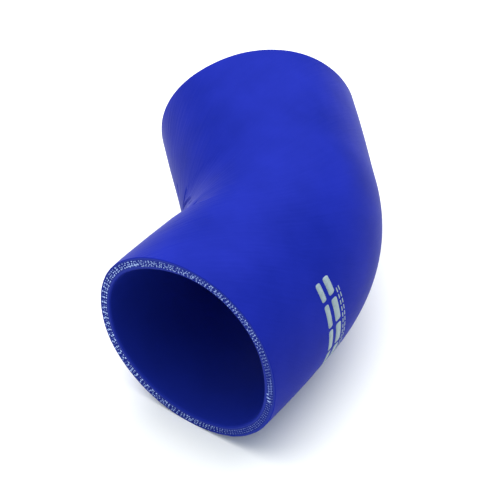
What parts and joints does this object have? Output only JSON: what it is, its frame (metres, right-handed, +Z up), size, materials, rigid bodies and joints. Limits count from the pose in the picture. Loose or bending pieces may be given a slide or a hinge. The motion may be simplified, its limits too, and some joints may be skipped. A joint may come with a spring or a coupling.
{
  "type": "silicone elbow hose",
  "caption": "Moulded elbow hose of blue fabric-reinforced silicone rubber, with a round bore, an obtuse bend and square-cut open ends for clamping onto pipes.",
  "frame": {"origin": "middle of the hose's footprint, on the surface that it lies on", "axes": "+Z up, square to the plane of the bend; -Y out of the near end; the far leg turns from +Y towards -X"},
  "size_m": [0.1292, 0.1562, 0.086],
  "materials": {
    "blue_silicone": "satin"
  },
  "bodies": {
    "root": {"elbow_hose": "blue_silicone"}
  },
  "joints": []
}
